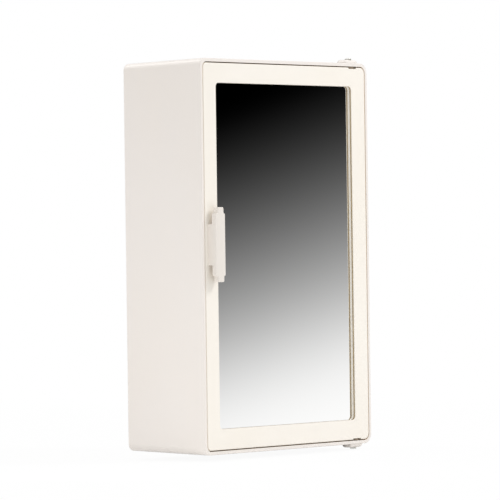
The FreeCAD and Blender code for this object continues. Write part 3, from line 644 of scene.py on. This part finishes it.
class SetStage(Operator):
    """Set up the camera, light, floor and backdrop"""

    bl_idname = "cabinet.set_stage"
    bl_label = "Stage"

    def execute(self, context):
        scene = context.scene
        stage = props(scene)[2]
        scene.view_settings.view_transform = "Standard"
        self.set_world(scene, stage)
        self.add_floor(scene, stage)
        self.add_backdrop(scene, stage)
        self.add_light(scene, "key_light", stage.key_place, stage.key_size, stage.key)
        self.add_light(scene, "fill_light", stage.fill_place, stage.fill_size, stage.fill)
        self.add_light(scene, "top_light", stage.top_place, stage.top_size, stage.top)
        self.add_light(scene, "side_light", stage.side_place, stage.side_size, stage.side)
        self.add_camera(scene, stage)
        return {"FINISHED"}

    def set_world(self, scene, stage):
        """White where it is seen, and the ambient level where it lights a surface."""
        world = bpy.data.worlds.new("studio")
        world.use_nodes = True
        tree = world.node_tree
        background = tree.nodes["Background"]
        level = tree.nodes.new("ShaderNodeMapRange")
        tree.links.new(seen_directly(tree), level.inputs["Value"])
        level.inputs["To Min"].default_value = stage.ambient
        tree.links.new(level.outputs["Result"], background.inputs["Strength"])
        background.inputs["Color"].default_value = WHITE
        scene.world = world

    def add_mesh(self, scene, name, mesh, material):
        data = bpy.data.meshes.new(name)
        mesh.to_mesh(data)
        mesh.free()
        item = bpy.data.objects.new(name, data)
        scene.collection.objects.link(item)
        data.materials.append(material)
        return item

    def add_floor(self, scene, stage):
        """A pale round floor that fades to white at its rim and keeps the cabinet's shadow."""
        recipe = Recipe("floor")
        away = recipe.node("ShaderNodeVectorMath", {"operation": "LENGTH"}, Vector=recipe.place)
        bright = recipe.span(away.outputs["Value"], stage.floor_glow, 1.0,
                             start=stage.floor_near * stage.floor_reach,
                             end=stage.floor_far * stage.floor_reach)
        glow = recipe.maths("MULTIPLY", bright, seen_directly(recipe.tree))
        paint = recipe.node("ShaderNodeBsdfDiffuse", Color=(*stage.floor_paint, 1.0))
        white = recipe.node("ShaderNodeEmission", Color=WHITE)
        blend = recipe.node("ShaderNodeMixShader", Fac=glow)
        recipe.feed(blend.inputs[1], paint.outputs["BSDF"])
        recipe.feed(blend.inputs[2], white.outputs["Emission"])
        mesh = bmesh.new()
        bmesh.ops.create_circle(mesh, cap_ends=True, segments=96, radius=stage.floor_reach)
        floor = self.add_mesh(scene, "floor", mesh, recipe.surface(blend.outputs["Shader"]))
        floor.location.z = CAD_BOX[0].z - stage.floor_drop
        floor.visible_glossy = False

    def add_backdrop(self, scene, stage):
        """A ring that mirrors and gloss show, black above and white below, and white to bounced light."""
        recipe = Recipe("backdrop")
        rightwards = (math.cos(stage.azimuth), -math.sin(stage.azimuth), 0.0)
        breadth = stage.ring_breadth
        rise = breadth * stage.ring_lean
        lean = recipe.span(recipe.dot(recipe.place, rightwards), rise, -rise, start=-breadth, end=breadth)
        level = recipe.maths("ADD", recipe.along("Z"), lean)
        grade = recipe.span(level, 0.0, 1.0, start=stage.ring_dark, end=stage.ring_light, clamp=False)
        grade = recipe.maths("SMOOTH_MIN", recipe.maths("MAXIMUM", grade, 0.0), 1.0, stage.ring_shoulder)
        fade = recipe.span(recipe.along("Z"), stage.ring_dim, 1.0, start=stage.ring_foot, end=stage.ring_fade)
        shown = recipe.maths("MULTIPLY", recipe.maths("POWER", grade, stage.ring_curve), fade)
        bounces = recipe.node("ShaderNodeLightPath").outputs["Diffuse Depth"]
        strength = recipe.maths("MAXIMUM", shown, recipe.maths("MINIMUM", bounces, 1.0))
        glow = recipe.node("ShaderNodeEmission", Strength=strength)
        mesh = bmesh.new()
        bmesh.ops.create_cone(mesh, cap_ends=False, segments=128, radius1=stage.ring_radius,
                              radius2=stage.ring_radius, depth=stage.ring_top - stage.ring_foot)
        bmesh.ops.translate(mesh, vec=(0.0, 0.0, (stage.ring_top + stage.ring_foot) / 2), verts=mesh.verts)
        ring = self.add_mesh(scene, "backdrop", mesh, recipe.surface(glow.outputs["Emission"]))
        for ray in ("camera", "diffuse", "transmission", "volume_scatter", "shadow"):
            setattr(ring, f"visible_{ray}", False)

    def add_light(self, scene, name, place, size, watts):
        """A square lamp turned to the middle of the cabinet, which the camera doesn't see."""
        data = bpy.data.lights.new(name, "AREA")
        data.energy = watts
        data.size = size
        lamp = bpy.data.objects.new(name, data)
        lamp.location = place
        lamp.rotation_mode = "QUATERNION"
        lamp.rotation_quaternion = (sum(CAD_BOX, Vector()) / 2 - Vector(place)).to_track_quat("-Z", "Y")
        lamp.visible_camera = False
        scene.collection.objects.link(lamp)

    def add_camera(self, scene, stage):
        data = bpy.data.cameras.new("camera")
        data.lens = stage.lens
        data.sensor_width = SENSOR_WIDTH
        level = math.cos(stage.elevation)
        back = Vector((math.sin(stage.azimuth) * level,
                       -math.cos(stage.azimuth) * level,
                       math.sin(stage.elevation)))
        camera = bpy.data.objects.new("camera", data)
        camera.location = Vector(stage.aim) + back * stage.distance
        camera.rotation_mode = "QUATERNION"
        camera.rotation_quaternion = (-back).to_track_quat("-Z", "Y") @ Quaternion((0, 0, 1), stage.roll)
        scene.collection.objects.link(camera)
        scene.camera = camera


PIECES = (DressShell, DressShelves, DressDoorFrame, DressMirror, AddFoam, DressBackPanel, DressHandle,
          DressHinges, DressCatch, DressScrews, DressBumpers)


class CabinetPanel(Panel):
    """Sidebar list of the cabinet's pieces and settings"""

    bl_idname = "CABINET_PT_pieces"
    bl_label = "Mirror cabinet"
    bl_space_type = "VIEW_3D"
    bl_region_type = "UI"
    bl_category = "Cabinet"

    def draw(self, context):
        column = self.layout.column()
        for piece in PIECES:
            column.operator(piece.bl_idname)
        column.operator(SetStage.bl_idname)
        for group in props(context.scene):
            box = self.layout.box()
            for name in group.__annotations__:
                box.prop(group, name)


GROUPS = {"cabinet_finish": CabinetFinish, "cabinet_form": CabinetForm, "cabinet_stage": CabinetStage}
CLASSES = (*GROUPS.values(), *PIECES, SetStage, CabinetPanel)


def register():
    for item in CLASSES:
        bpy.utils.register_class(item)
    for name, group in GROUPS.items():
        setattr(bpy.types.Scene, name, PointerProperty(type=group))


def unregister():
    for name in GROUPS:
        delattr(bpy.types.Scene, name)
    for item in reversed(CLASSES):
        bpy.utils.unregister_class(item)


def main():
    register()
    for piece in (*PIECES, SetStage):
        group, name = piece.bl_idname.split(".")
        getattr(getattr(bpy.ops, group), name)()


if __name__ == "__main__":
    main()
